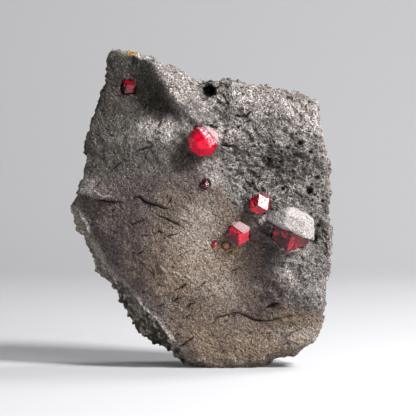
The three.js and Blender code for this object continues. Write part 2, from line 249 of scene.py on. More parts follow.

# Soft patches of painted shade, in hollows, under ledges, on faces turned from the light and in the
# crystals' cast shadows, in the same way.
PAINTED_SHADE_PATCHES = (
    (28.2, 32.0, 2.4, 5.0, 0.75),     # pocket beside the biggest garnet
    (-4.4, 53.0, 3.0, 3.2, 0.6),      # hollow under the large garnet
    (19.0, 50.0, 9.5, 4.6, 0.6),      # pitted band
    (10.5, 38.0, 2.6, 2.4, 0.35),     # left of the bright garnet
    (14.5, 30.0, 4.0, 5.5, 0.30),     # valley below it
    (-20.0, 40.0, 8.0, 4.0, 0.22),    # below the left ledge
    (-9.0, 14.0, 5.0, 3.0, 0.22),     # lower left foot
    (-12.0, 65.0, 5.5, 2.6, 0.5),     # bottom of the scoop
    (-27.0, 38.0, 3.0, 3.0, 0.4),     # under the left ledge's end
    (-22.5, 69.0, 3.8, 7.5, 1.3),     # left of the horn
    (-27.5, 58.0, 2.0, 8.0, 0.35),    # left edge
    (30.6, 42.5, 1.4, 3.6, 0.6),      # right edge
    (24.0, 13.5, 5.0, 2.0, 0.25),     # above the lower right foot
    (-1.5, 17.0, 3.2, 1.6, 0.4),      # among the cracks at the lower left
)

VUG = {"x": 1.25, "z": 69.1, "wide": 1.75, "high": 2.0, "depth": 2.6}

# Orange iron stains, on the top edge of the horn, by the buried garnet and on one grain: middle X
# and Z, reach along X and Z, and strength.
STAINS = (
    (-17.4, 78.6, 2.2, 0.75, 1.0),
    (6.6, 29.6, 2.6, 0.8, 0.35),
    (20.3, 15.6, 0.35, 0.3, 0.8),
)

# The light that puts a white glint on the bright garnet: the way it comes from, how far away it is
# and its size, both in metres, and its power in watts.
GLINT = {"way": (0.57, -0.78, 0.27), "distance": 0.58, "size": 0.12, "power": 1.2}

# The other soft square lights: name, place in metres, size in metres and power in watts.
LIGHTS = (
    ("key_light", (0.38, -0.27, 0.40), 0.14, 6.9),
    ("rim_light", (0.36, 0.18, 0.42), 0.24, 2.2),
    ("fill_light", (-0.55, 0.10, 0.02), 0.30, 2.6),
    ("low_light", (0.50, -0.32, 0.00), 0.25, 1.1),
)
LIT_POINT = (0, 0, 0.04)  # where they all point, in metres
WORLD = {"colour": (0.5, 0.52, 0.55), "strength": 0.1}

# The floor and backdrop, in metres: its front edge, where it starts to bend up, the bend's radius
# and steps, its top edge and half its width.
BOARD = {"front": -1.2, "bend": 0.35, "radius": 0.3, "steps": 12, "top": 1.6, "half": 1.6}

# The camera: the point it aims at, the width it sees there, its sensor's width, and in metres how
# near it can see.
CAMERA = {"aim": (1.2, -11.0, 40.2), "width": 102.5, "sensor": 36, "nearest": 0.01}

# Which way the pale rock's ridges and pits run on the front face, and the skin's small cracks:
# degrees from +X.
RIDGE_TURN = -38.0
DASH_TURN = 28.0
DASH_DEPTH = 0.4          # depth of those small cracks

# The horn's rock is painted dark: weathered rock, and also painted shade where it faces away from the
# light.
HORN_FOOT = 66.0          # height at which the horn's sooty rock starts
ARRIS_LENGTH = 60.0       # length of the arris at the lower left, along which its layers run

# The crust over the biggest garnet: how steeply its lower edge falls to the right, how far it
# reaches from the garnet's middle, and how that reach is weighed along X, Y and Z.
HOOD = {"slope": 0.45, "reach": 8.6, "shape": np.array([0.98, 0.7, 1.05])}


# ---- noise -------------------------------------------------------------------------------------

# Large odd numbers that scatter neighbouring points, and the size of the numbers they make.
SCATTER = (374761393, 668265263, 1440662683, 1274126177)
WORD = 2 ** 32
ABOVE_ZERO = 1000.0     # added to every place, so that no cell has a negative number


def lattice(x, y, z, seed):
    """A repeatable random number from 0 to 1 for each whole-number point."""
    across, deep, up, last = SCATTER
    mixed = (x * across + y * deep + z * up + seed * last) % WORD
    mixed = ((mixed ^ (mixed >> 13)) * last) % WORD
    mixed = ((mixed ^ (mixed >> 16)) * deep) % WORD
    return (mixed ^ (mixed >> 15)) / WORD


def lumps(points, size, seed):
    """Smooth noise from -1 to 1, with lumps of the given size."""
    scaled = points / size + ABOVE_ZERO
    base = np.floor(scaled).astype(np.int64)
    part = scaled - base
    part = part * part * (3 - 2 * part)
    total = np.zeros(len(points))
    for corner in range(8):
        step = np.array([corner & 1, corner >> 1 & 1, corner >> 2 & 1])
        weight = np.prod(np.where(step, part, 1 - part), axis=1)
        total += weight * lattice(*(base + step).T, seed)
    return 2 * total - 1


def rough(points, size, seed, octaves=3):
    """Broken noise: each octave is half the size and half the height of the last."""
    return sum(lumps(points, size / 2 ** octave, seed + octave) / 2 ** octave for octave in range(octaves))


def bubbles(points, size, seed):
    """Distance to the nearest of points scattered one to a cell, in cells, and its own number."""
    scaled = points / size + ABOVE_ZERO
    base = np.floor(scaled).astype(np.int64)
    nearest = np.full(len(points), np.inf)
    number = np.zeros(len(points))
    for step in itertools.product((-1, 0, 1), repeat=3):
        cell = base + np.array(step)
        spot = np.stack([lattice(*cell.T, seed + axis) for axis in (1, 2, 3)], axis=1)
        distance = np.linalg.norm(cell + spot - scaled, axis=1)
        closer = distance < nearest
        nearest = np.where(closer, distance, nearest)
        number = np.where(closer, lattice(*cell.T, seed + 4), number)
    return nearest, number


def turned(points, degrees, along_scale, across_scale):
    """Points turned on the front face and scaled, so that noise runs the given way."""
    turn = math.radians(degrees)
    run = points[:, 0] * math.cos(turn) + points[:, 2] * math.sin(turn)
    rise = points[:, 2] * math.cos(turn) - points[:, 0] * math.sin(turn)
    return np.stack([run * along_scale, points[:, 1], rise * across_scale], axis=1)


def ramp(low, high, value):
    """0 below low, 1 above high, and a smooth rise between them; it falls where low is higher."""
    part = np.clip((value - low) / (high - low), 0, 1)
    return part * part * (3 - 2 * part)


def bell(away, width):
    """1 at no distance, fading within about twice the width."""
    return np.exp(-(away / width) ** 2)


def along(x, z, line):
    """Distance to a line of points, the share of the way along it, and the side (1 above it)."""
    nearest = np.full(len(x), np.inf)
    share = np.zeros(len(x))
    side = np.ones(len(x))
    steps = len(line) - 1
    for i, ((x0, z0), (x1, z1)) in enumerate(zip(line, line[1:])):
        run, rise = x1 - x0, z1 - z0
        part = np.clip(((x - x0) * run + (z - z0) * rise) / (run * run + rise * rise), 0, 1)
        away_x = x - x0 - part * run
        away_z = z - z0 - part * rise
        distance = np.hypot(away_x, away_z)
        closer = distance < nearest
        nearest = np.where(closer, distance, nearest)
        share = np.where(closer, (i + part) / steps, share)
        side = np.where(closer, np.sign(run * away_z - rise * away_x), side)
    return nearest, share, side


# ---- the rock's surface ------------------------------------------------------------------------

class RockMap:
    """Which kind of surface each point of the rock has, from its place and facing.

    Every kind runs from 0, where there is none of it, to 1. The third value given to each noise is
    its seed.
    """

    def __init__(self, points, normals):
        self.points = points
        self.normals = normals
        self.x, self.y, self.z = points.T
        self.front = ramp(0.15, 0.6, -normals[:, 1])
        self.back = ramp(0.1, 0.6, normals[:, 1])
        self.side = 1 - np.maximum(self.front, self.back)
        self.edge = 1 - self.front
        self.find_kinds()
        self.find_crust()
        self.find_flank()

    def find_kinds(self):
        """The pale rock, the brown skin and the horn, whose dark rock is partly painted shade, with
        wavering borders.
        """
        self.sway = rough(self.points, 7.0, 11)
        wander = 2.4 * self.sway + 0.8 * lumps(self.points, 1.6, 12)
        border = np.interp(self.z, *zip(*PALE_EDGE))
        blur = 1 + 1.4 * ramp(34, 20, self.z)
        self.pale = ramp(-2 * blur, 3 * blur, self.x - border + wander) * self.front
        self.broken = np.maximum(self.pale, self.edge)
        self.skin = self.front * (1 - self.pale)
        slant = self.x + 0.5 * wander + 0.5 * (self.z - HORN_FOOT)
        self.horn = ramp(-6, -10, slant) * ramp(HORN_FOOT - 5, HORN_FOOT, self.z + wander) * self.front
        self.upper_skin = self.skin * ramp(44, 54, self.z + 3 * self.sway)

    def find_crust(self):
        """The crust that hangs over the biggest garnet."""
        low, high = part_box("garnet_hooded")
        away = self.points - np.array((low + high) / 2) / MM
        over = ramp(-1.2, -0.4, away[:, 2] + HOOD["slope"] * away[:, 0])
        near = ramp(HOOD["reach"], HOOD["reach"] - 0.8, np.linalg.norm(away * HOOD["shape"], axis=1))
        self.crust = near * over * ramp(-0.6, 0.6, -away[:, 1])

    def find_flank(self):
        """The layered band between the arris and the lower left outline, and what borders it."""
        sway = 0.35 * lumps(self.points, 2.6, 15)
        away, share, side = along(self.x + sway, self.z + sway, ARRIS)
        outside = -side * away
        ends = ramp(0.0, 0.05, share) * ramp(1.0, 0.93, share)
        ahead = ramp(0.8, 0.2, self.back)
        self.flank = ramp(0.0, 0.5, outside) * ramp(9.0, 7.0, outside) * ends * ahead
        self.arris = np.exp(-away / 0.5) * ends * self.front
        self.border = np.exp(-away / 1.6) * ends * self.front * ramp(26, 18, self.z)
        # the front just inside the arris, which gets painted shade
        inside = ramp(6.0, 0.5, -outside) * ramp(-0.2, 0.3, -outside)
        self.inside = inside * ends * self.front * ramp(22, 32, self.z)
        self.crumbs = ramp(0.1, 0.55, rough(self.points, 1.1, 93, 2))
        unrolled = np.stack([self.y, ARRIS_LENGTH * share / 4, 0 * share], axis=1)
        self.layers = rough(unrolled, 4.4, 16)
        self.low_flank = self.flank * ramp(27, 19, self.z + 6 * self.layers)

    def cracks(self):
        """Depth of the open cracks, and how much painted shade each point of them gets."""
        jitter_x = 0.22 * lumps(self.points, 0.9, 21)
        jitter_z = 0.22 * lumps(self.points, 0.9, 22)
        broken_up = 1 + 0.35 * lumps(self.points, 1.4, 23)
        depth = np.zeros(len(self.x))
        dark = np.zeros(len(self.x))
        for line, width, deepest in CRACKS:
            away, share, _ = along(self.x + jitter_x, self.z + jitter_z, line)
            taper = (0.45 + 0.55 * np.sin(np.pi * np.clip(share, 0.02, 0.98))) * broken_up
            groove = bell(away, 0.85 * width * taper) * self.front
            depth = np.maximum(depth, deepest * taper * groove)
            dark = np.maximum(dark, groove)
        return depth, dark

    def dashes(self):
        """The small cracks scattered over the skin."""
        bend = 0.3 * np.stack([lumps(self.points, 1.1, seed) for seed in (65, 66, 67)], axis=1)
        shape = turned(self.points + bend, DASH_TURN, 0.42, 1.5)
        distance, number = bubbles(shape, 1.7, 91)
        kept = number > 0.55 + 0.3 * ramp(-0.2, 0.6, rough(self.points, 9.0, 68, 2))
        width = 0.12 + 0.12 * number
        return ramp(width, 0.5 * width, distance) * kept * self.skin * ramp(50, 40, self.z)

    def flecks(self):
        """The crumbly light flecks, brighter to their far end."""
        found = np.zeros(len(self.x))
        sway = 0.4 * lumps(self.points, 0.7, 26)
        for line in FLECKS:
            away, share, _ = along(self.x + sway, self.z - sway, line)
            found = np.maximum(found, bell(away, 0.28) * (0.4 + 0.6 * ramp(0, 0.3, share)))
        return found * self.front

    def rim_highlights(self):
        """Painted highlights along the top edge and along the arris below the horn."""
        found = np.zeros(len(self.x))
        sway = 0.5 * lumps(self.points, 1.4, 27)
        for line, width, most in RIM_HIGHLIGHTS:
            away, _, _ = along(self.x + sway, self.z - sway, line)
            found = np.maximum(found, most * bell(away, width))
        return found * np.maximum(self.front, self.side) * ramp(12, 4, self.y)

    def ledges(self):
        """How far the layers above the ledge lines stand out."""
        height = np.zeros(len(self.x))
        ragged = 0.35 * lumps(self.points, 1.3, 31)
        for line, step in LEDGES:
            away, share, side = along(self.x, self.z, line)
            over = away * side + ragged
            shelf = ramp(-0.15, 0.3, over) * np.exp(-np.clip(over, 0, None) / 2.4)
            ends = ramp(0.0, 0.12, share) * ramp(1.0, 0.88, share)
            height += step * shelf * ends * self.front
        return height

    def ridges(self):
        """Height of the sharp arrises."""
        height = np.zeros(len(self.x))
        sway_x = 0.5 * lumps(self.points, 2.2, 35)
        sway_z = 0.5 * lumps(self.points, 2.2, 36)
        for line, reach, tall in RIDGES:
            away, share, _ = along(self.x + sway_x, self.z + sway_z, line)
            ends = ramp(0.0, 0.08, share) * ramp(1.0, 0.92, share)
            height = np.maximum(height, tall * np.exp(-away / reach) * ends)
        return height * np.maximum(self.front, 0.6 * self.side)

    def gas_holes(self):
        """Depth of the small holes that riddle the pale rock, the largest in a band across it."""
        depth = np.zeros(len(self.x))
        patchy = 0.5 + 0.5 * rough(self.points, 5.0, 41, 2)
        band = bell(self.x - 19, 11) * bell(self.z - 49, 7)
        bend = np.stack([lumps(self.points, 0.9, seed) for seed in (47, 48, 49)], axis=1)
        shape = (self.points + 0.4 * bend) * np.array([0.8, 0.85, 1.2])
        crowd = np.clip(self.broken * (0.3 + 0.7 * patchy + 0.6 * band) + 0.2 * self.skin, 0, 1)
        for size, deepest, share, seed in ((1.9, 0.8, band, 42), (1.15, 0.6, 1, 43), (0.8, 0.5, 1, 44)):
            distance, number = bubbles(shape, size, seed)
            mouth = 0.2 + 0.34 * number
            hole = ramp(mouth, 0.3 * mouth, distance) * (number > 0.25)
            depth = np.maximum(depth, deepest * hole * crowd * share)
        return depth * (1 - self.crust)

    def holes(self):
        """Depth of all the holes, small ones and single ones."""
        depth = self.gas_holes()
        wobble = 1 + 0.35 * lumps(self.points, 0.9, 51)
        for x, z, radius, deepest in HOLES:
            away = np.hypot(self.x - x, self.z - z) * wobble
            depth = np.maximum(depth, deepest * ramp(radius, 0.3 * radius, away) * self.front)
        return depth

    def patches(self, table, wobble, border):
        """Strength of the soft patches in a table, and how far out their borders start and end."""
        strength = np.zeros(len(self.x))
        for x, z, wide, high, most in table:
            away = np.hypot((self.x - x) / wide, (self.z - z) / high) + wobble
            strength = np.maximum(strength, most * ramp(*border, away))
        return strength

    def shades(self, table):
        """Strength of the soft patches of lighter rock and painted light, or of painted shade."""
        return self.patches(table, 0.55 * rough(self.points, 3.0, 55, 2), (1.5, 0.4)) * self.front

    def stain(self):
        """Strength of the iron stains, which don't reach the back."""
        strength = self.patches(STAINS, 0.35 * rough(self.points, 1.2, 71), (1.1, 0.5))
        return strength * ramp(-2, 6, 6 - self.y)

    def vug(self):
        """The cavity under the top edge, with a lumpy rim; its inside is painted black as shade."""
        wobble = 1 + 0.4 * rough(self.points, 1.5, 61, 2)
        away = np.hypot((self.x - VUG["x"]) / VUG["wide"], (self.z - VUG["z"]) / VUG["high"])
        return ramp(1.12, 0.92, away * wobble) * np.maximum(self.front, 0.4 * self.side)

    def warmth(self):
        """The brown skin of the middle, the base and the lower right."""
        middle = bell(self.x + 1, 13) * bell(self.z - 26, 15)
        lower_right = bell(self.x - 24, 7) * bell(self.z - 11, 5)
        return np.clip(middle + 0.8 * ramp(16, 4, self.z) + lower_right, 0, 1) * self.skin

    def linings(self):
        """The walls of the sockets, which the crystals have kept fresh and white."""
        lined = np.zeros(len(self.x))
        for node in GARNETS:
            low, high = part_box(node)
            middle = np.array((low + high) / 2) / MM
            reach = np.array(high - low).max() / 2 / MM
            away = np.linalg.norm(self.points - middle, axis=1)
            lined = np.maximum(lined, ramp(reach + 0.15, reach - 0.1, away))
        return lined


def lump_relief(rock_map):
    """Lumps and grains all over, and ridges and streaks in the pale rock."""
    points = rock_map.points
    upper = ramp(44, 56, rock_map.z) * rock_map.skin
    share = 0.5 + 0.7 * rock_map.broken + 0.6 * rock_map.edge + 0.8 * upper
    height = 0.34 * rough(points, 3.6, 81) * (0.5 + 0.5 * rock_map.broken)
    height += 0.22 * rough(points, 1.25, 82, 2) * share
    height += 0.11 * lumps(points, 0.6, 86)
    ridges = 0.4 - np.abs(rough(points, 7.5, 89))
    streaks = 0.35 - np.abs(rough(turned(points, RIDGE_TURN, 0.4, 1.2), 2.6, 92))
    return height + (0.55 * ridges + 0.6 * streaks) * rock_map.pale


def chip_relief(rock_map):
    """Chips and layers on the sides and the back, and crumbs on the flank, its arris and the foot."""
    points = rock_map.points
    flank = rock_map.flank
    chips = bubbles(points, 3.2, 85)[0] - 0.55
    small_chips = bubbles(points, 1.5, 88)[0] - 0.55
    layers = 0.35 - np.abs(rough(points * np.array([0.14, 1.0, 0.14]), 1.9, 83))
    foot = rock_map.front * ramp(5, 1.5, rock_map.z)
    height = (1.5 * chips + 0.6 * small_chips - 0.25 + 0.75 * layers * (1 - flank)) * rock_map.edge
    height += (0.3 - np.abs(rock_map.layers)) * flank + 0.8 * rock_map.arris
    height += (chips + 0.3 * (small_chips + 0.05)) * np.maximum(flank, foot)
    return height + 0.35 * rock_map.crumbs * np.maximum(flank, rock_map.border)


def rock_relief(rock_map):
    """How far each point of the rock moves out along its normal, in millimetres."""
    height = lump_relief(rock_map) + chip_relief(rock_map)
    height += rock_map.ledges() + rock_map.ridges() + 0.35 * rock_map.flecks()
    crack = np.maximum(rock_map.cracks()[0], DASH_DEPTH * rock_map.dashes())
    return height * (1 - 0.85 * rock_map.crust) - np.maximum(crack, rock_map.holes())


def light_and_highlight_mask(rock_map, rim_highlights):
    """Where the rock is painted lighter: lighter rock mixed with painted light in the patches, light
    arrises, flecks and crumbs, and painted highlights along the rims.
    """
    foot = rock_map.front * ramp(4, 1, rock_map.z)
    return np.maximum.reduce([
        # lighter rock mixed with painted light on the surfaces that face the key light
        rock_map.shades(PALE_AND_LIT_PATCHES) * (1 - rock_map.horn),
        0.9 * rock_map.arris,
        0.7 * rock_map.flecks(),
        rim_highlights,
        rock_map.crumbs * np.maximum(0.7 * rock_map.border, 0.6 * foot),
        0.45 * rock_map.border,
    ])


def rock_masks(rock_map):
    """Where each kind of rock, painted light and painted shade shows, by the names that the material reads.
    """
    low_flank = rock_map.low_flank
    # painted highlights along the top edge and the arris below the horn
    rim_highlights = rock_map.rim_highlights()
    far_left = rock_map.upper_skin * ramp(-12, -20, rock_map.x)
    # dark weathered rock on the horn, the lower flank and the far left; on the horn it is also painted
    # shade
    weathered_and_shade = np.clip(0.85 * rock_map.horn + 0.9 * low_flank + 0.45 * far_left, 0, 1)
    stripe = ramp(0.45, 0.1, np.abs(rock_map.layers))
    upper_flank = (rock_map.flank - low_flank) * (0.3 + 0.7 * stripe)
    grit = np.clip(0.45 + 0.45 * rock_map.broken + 0.15 * ramp(44, 54, rock_map.z), 0, 0.95)
    crack = np.maximum(0.95 * rock_map.cracks()[1], 0.75 * rock_map.dashes())
    return {
        "pale": rock_map.broken,
        "warm": rock_map.warmth(),
        "grey": rock_map.upper_skin * ramp(2, -4, rock_map.x),
        # lighter rock, painted light and painted highlights
        "light": light_and_highlight_mask(rock_map, rim_highlights),
        "weathered_and_shade": weathered_and_shade * (1 - rim_highlights),
        # painted shade in hollows, under ledges, beside the crystals and inside the arris
        "dim": np.maximum(rock_map.shades(PAINTED_SHADE_PATCHES), 0.45 * rock_map.inside),
        "flank": upper_flank + 0.9 * low_flank * rock_map.crumbs,
        "crust": rock_map.crust,
        "stain": rock_map.stain(),
        "grit": grit * (1 - 0.75 * rock_map.crust),
        # painted shade in the holes
        "pit_shade": np.clip(1.9 * rock_map.holes(), 0, 0.9),
        # painted shade in the cracks, the small cracks and the vug
        "dark": np.clip(np.maximum(crack, rock_map.vug()), 0, 1),
        "lining": rock_map.linings(),
    }


# ---- meshes ------------------------------------------------------------------------------------

def object_from(solid, name):
    """A new object with the shape of a bmesh, which is then freed."""
    mesh = bpy.data.meshes.new(name)
    solid.to_mesh(mesh)
    solid.free()
    piece = bpy.data.objects.new(name, mesh)
    bpy.context.scene.collection.objects.link(piece)
    return piece


def merged_node(node):
    """A bmesh of the node's solid, its loose triangles joined."""
    solid = bmesh.new()
    solid.from_mesh(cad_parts[node].data)
    bmesh.ops.remove_doubles(solid, verts=solid.verts, dist=SAME_PLACE * MM)
    return solid


def bake_modifiers(piece):
    """Turns the piece's modifiers into its mesh."""
    evaluated = piece.evaluated_get(bpy.context.evaluated_depsgraph_get())
    mesh = bpy.data.meshes.new_from_object(evaluated)
    piece.modifiers.clear()
    old = piece.data
    piece.data = mesh
    bpy.data.meshes.remove(old)
    mesh.name = piece.name


def map_of(mesh):
    """The RockMap of a mesh's points."""
    points, normals = np.zeros((2, 3 * len(mesh.vertices)))
    mesh.vertices.foreach_get("co", points)
    mesh.vertices.foreach_get("normal", normals)
    return RockMap(points.reshape(-1, 3) / MM, normals.reshape(-1, 3))


def finish_piece(piece, slot, material, *nodes):
    """Gives the piece its material and its place in the frame."""
    piece.data.materials.clear()
    piece.data.materials.append(material)
    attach(piece, BODY)
    if nodes:
        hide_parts(*nodes)


def shade_smooth(mesh):
    mesh.polygons.foreach_set("use_smooth", [True] * len(mesh.polygons))


# ---- materials ---------------------------------------------------------------------------------

def add(tree, kind, inputs=(), **settings):
    """Adds a node with its settings. Each input is given a value or the output that feeds it."""
    node = tree.nodes.new(kind)
    for name, value in settings.items():
        setattr(node, name, value)
    for key, value in dict(inputs).items():
        if isinstance(value, bpy.types.NodeSocket):
            tree.links.new(value, node.inputs[key])
        else:
            node.inputs[key].default_value = value
    return node


def new_material(name):
    """A material with only its output node left."""
    material = bpy.data.materials.new(name)
    material.use_nodes = True
    tree = material.node_tree
    tree.nodes.clear()
    return material, tree, tree.nodes.new("ShaderNodeOutputMaterial")


def rgba(colour):
    return (*colour, 1.0)


def grey(level):
    """A slightly warm grey, to multiply a colour by."""
    return (level, level - 0.02, level - 0.03, 1.0)


def paint(tree, colour, *layers):
    """A colour with others laid over it in turn.

    Each layer is how it blends, how much of it there is, and its colour. How much is an output, a
    number or the name of a mask on the mesh.
    """
    for mode, amount, over in layers:
        if isinstance(amount, str):
            amount = add(tree, "ShaderNodeAttribute", attribute_name=amount).outputs["Fac"]
        inputs = dict(zip(COLOUR_MIX_INPUTS, (amount, colour, over)))
        mix = add(tree, "ShaderNodeMix", inputs, data_type="RGBA", blend_type=mode, clamp_factor=True)
        colour = mix.outputs[COLOUR_MIX_OUTPUT]
    return colour


def grain(tree, size, detail, low, high, place):
    """Noise with lumps of `size` millimetres, stretched to run from 0 at low to 1 at high."""
    noise = add(tree, "ShaderNodeTexNoise", {"Vector": place, "Detail": detail, "Scale": 1 / (size * MM)})
    spread = {"Value": noise.outputs["Fac"], "From Min": low, "From Max": high}
    return add(tree, "ShaderNodeMapRange", spread).outputs["Result"]


def facing(tree, way, low, high, most):
    """How far each face looks a given way: 0 at low and `most` at high."""
    normal = add(tree, "ShaderNodeNewGeometry").outputs["True Normal"]
    share = add(tree, "ShaderNodeVectorMath", {0: normal, 1: way}, operation="DOT_PRODUCT")
    spread = {"Value": share.outputs["Value"], "From Min": low, "From Max": high, "To Max": most}
    return add(tree, "ShaderNodeMapRange", spread).outputs["Result"]


def streaky(tree, place):
    """The place, turned and stretched along the pale rock's ridges."""
    turn = {"Vector": place, "Rotation": (0, math.radians(RIDGE_TURN), 0)}
    stretch = {"Vector": add(tree, "ShaderNodeMapping", turn).outputs["Vector"], "Scale": (0.5, 1.0, 1.2)}
    return add(tree, "ShaderNodeMapping", stretch).outputs["Vector"]


def rock_colour(tree, colours, place):
    """The rock's colour by kind of surface, with painted light and painted shade among them, then its
    grains, then painted shade in its holes, cracks and vug, and the white socket linings.
    """
    clouds = grain(tree, 6.0, 3.0, 0.35, 0.65, place)
    fresh = paint(tree, rgba(colours.fresh_dark), ("MIX", clouds, rgba(colours.fresh)))
    rock = paint(
        tree, rgba(colours.skin_dark),
        ("MIX", clouds, rgba(colours.skin)),
        ("MIX", "warm", rgba(colours.skin_warm)),
        ("MIX", "grey", rgba(colours.grey)),
        ("MIX", "pale", fresh),
        # lighter rock, painted light and painted highlights on the rims
        ("MIX", "light", rgba(colours.light)),
        # dark weathered rock, and on the horn also painted shade
        ("MIX", "weathered_and_shade", rgba(colours.weathered)),
        # painted shade in hollows, under ledges and in the crystals' cast shadows
        ("MIX", "dim", rgba(colours.dim)),
        ("MIX", "flank", rgba(colours.flank)),
        ("MIX", "crust", rgba(colours.crust)),
        ("MIX", "stain", rgba(colours.stain)))
    speckle = paint(tree, grey(0.42), ("MIX", grain(tree, 0.4, 4.0, 0.38, 0.62, place), (1.4, 1.4, 1.4, 1)))
    patchy = grain(tree, 1.8, 3.0, 0.34, 0.6, streaky(tree, place))
    mottle = paint(tree, grey(0.62), ("MIX", patchy, (1.2, 1.2, 1.2, 1)))
    flour = paint(tree, grey(0.4), ("MIX", grain(tree, 0.3, 3.0, 0.38, 0.62, place), (1.5, 1.5, 1.5, 1)))
    return paint(
        tree, rock,
        ("MULTIPLY", "grit", speckle),
        ("MULTIPLY", "grit", mottle),
        ("MULTIPLY", 0.75, flour),
        ("MIX", grain(tree, 0.45, 2.0, 0.62, 0.9, place), rgba(colours.feldspar)),
        # painted shade in the holes
        ("MIX", "pit_shade", rgba(colours.pit_shade)),
        # painted shade in the cracks and the vug
        ("MIX", "dark", rgba(colours.shadow)),
        ("MIX", "lining", rgba(colours.lining)))


def rock_material(colours):
    """Weathered rhyolite, a fine-grained volcanic rock: matt, speckled with light feldspar and dark
    grains about 0.3 mm across. Its skin is brown, its fresh breaks are pale and grey."""
    material, tree, out = new_material("Weathered rhyolite")
    place = add(tree, "ShaderNodeTexCoord").outputs["Object"]
    crust = add(tree, "ShaderNodeAttribute", attribute_name="crust").outputs["Fac"]
    smoother = {"Value": crust, "To Min": 1.0, "To Max": 0.3}
    strength = add(tree, "ShaderNodeMapRange", smoother).outputs["Result"]
    coarse = grain(tree, 1.5, 4.0, 0.3, 0.7, streaky(tree, place))
    low_bump = add(tree, "ShaderNodeBump", {"Height": coarse, "Strength": strength, "Distance": 1.1 * MM})
    bump = add(tree, "ShaderNodeBump", {
        "Height": grain(tree, 0.5, 4.0, 0.3, 0.7, place), "Strength": strength, "Distance": 0.65 * MM,
        "Normal": low_bump.outputs["Normal"]})
    surface = add(tree, "ShaderNodeBsdfPrincipled", {
        "Base Color": rock_colour(tree, colours, place), "Normal": bump.outputs["Normal"],
        "Roughness": 0.9, "IOR": 1.5, "Specular IOR Level": 0.25})
    tree.links.new(surface.outputs["BSDF"], out.inputs["Surface"])
    return material


def garnet_colour(tree, colours, look, place):
    """Dark veils, flat flaws that flash brighter, painted light on the faces that look one way, and frost,
    partly painted highlight, on the faces toward the key light.
    """
    flaws = add(tree, "ShaderNodeTexVoronoi", {"Vector": place, "Scale": 1 / (FLAW_SIZE * MM)})
    flash = add(tree, "ShaderNodeMapRange", {
        "Value": flaws.outputs["Color"], "From Min": 0.45, "From Max": 0.75, "To Max": look["flash"]})
    # painted light: brighter red on the faces that look the given way, as if lit through
    painted_glow = add(tree, "ShaderNodeMath", {
        0: grain(tree, 0.8, 3.0, 0.36, 0.6, place), 1: flash.outputs["Result"],
        2: facing(tree, look["way"], 0.1, 0.8, look["painted_glow"])}, operation="MULTIPLY_ADD", use_clamp=True)
    # whitish frost on the faces that look up and to the right, toward the key light: partly etching and
    # partly painted highlight
    powder = add(tree, "ShaderNodeMath", {
        0: facing(tree, (0.6, -0.25, 0.76), 0.35, 0.8, look["frost"]),
        1: grain(tree, 0.45, 3.0, 0.42, 0.6, place)}, operation="MULTIPLY")
    return paint(
        tree, rgba(getattr(colours, look["veil"])),
        ("MIX", painted_glow.outputs["Value"], rgba(colours.tint)),
        ("MIX", powder.outputs["Value"], rgba(colours.frost)))


def garnet_material(name, colours, look):
    """Almandine garnet, a clear deep-red crystal: glassy faces with low growth steps, and red from its
    thickness, with painted light on the faces that look one way. Some faces, those toward the key light,
    are etched and powdery, partly painted highlight."""
    material, tree, out = new_material(name)
    place = add(tree, "ShaderNodeTexCoord").outputs["Object"]
    steps = grain(tree, 0.7, 2.0, 0.3, 0.7, place)
    bump = add(tree, "ShaderNodeBump", {"Height": steps, "Strength": 0.5, "Distance": look["steps"] * MM})
    surface = add(tree, "ShaderNodeBsdfPrincipled", {
        "Base Color": garnet_colour(tree, colours, look, place), "Normal": bump.outputs["Normal"],
        "Roughness": look["rough"], "IOR": 1.78, "Transmission Weight": look["clarity"],
        "Specular IOR Level": look["gloss"]})
    inside = add(tree, "ShaderNodeVolumeAbsorption",
                 {"Color": rgba(colours.depth), "Density": colours.density})
    tree.links.new(surface.outputs["BSDF"], out.inputs["Surface"])
    tree.links.new(inside.outputs["Volume"], out.inputs["Volume"])
    return material


def crust_material(pale, blush):
    """White rock powder: a matt skin, with the red of the garnet showing through where it's thin."""
    material, tree, out = new_material("White rock powder")
    place = add(tree, "ShaderNodeTexCoord").outputs["Object"]
    thin = grain(tree, 0.5, 3.0, 0.45, 0.75, place)
    bump = add(tree, "ShaderNodeBump", {
        "Height": grain(tree, 0.4, 3.0, 0.3, 0.7, place), "Strength": 0.7, "Distance": 0.15 * MM})
    surface = add(tree, "ShaderNodeBsdfPrincipled", {
        "Base Color": paint(tree, rgba(pale), ("MIX", thin, rgba(blush))),
        "Normal": bump.outputs["Normal"], "Roughness": 0.8})
    tree.links.new(surface.outputs["BSDF"], out.inputs["Surface"])
    return material


def board_material(colour):
    """Matt painted board: plain and pale, without a sheen."""
    material, tree, out = new_material("Matt painted board")
    surface = add(tree, "ShaderNodeBsdfPrincipled", {"Base Color": rgba(colour), "Roughness": 0.8})
    tree.links.new(surface.outputs["BSDF"], out.inputs["Surface"])
    return material


# ---- settings ----------------------------------------------------------------------------------

def colour_property(name, hex_colour, description):
    return bpy.props.FloatVectorProperty(
        name=name, description=description, subtype="COLOR", size=3, min=0, max=1,
        default=linear(hex_colour))


def length_property(name, millimetres, description):
    return bpy.props.FloatProperty(
        name=name, description=description, default=millimetres * MM, min=0,
        subtype="DISTANCE", unit="LENGTH", precision=5)


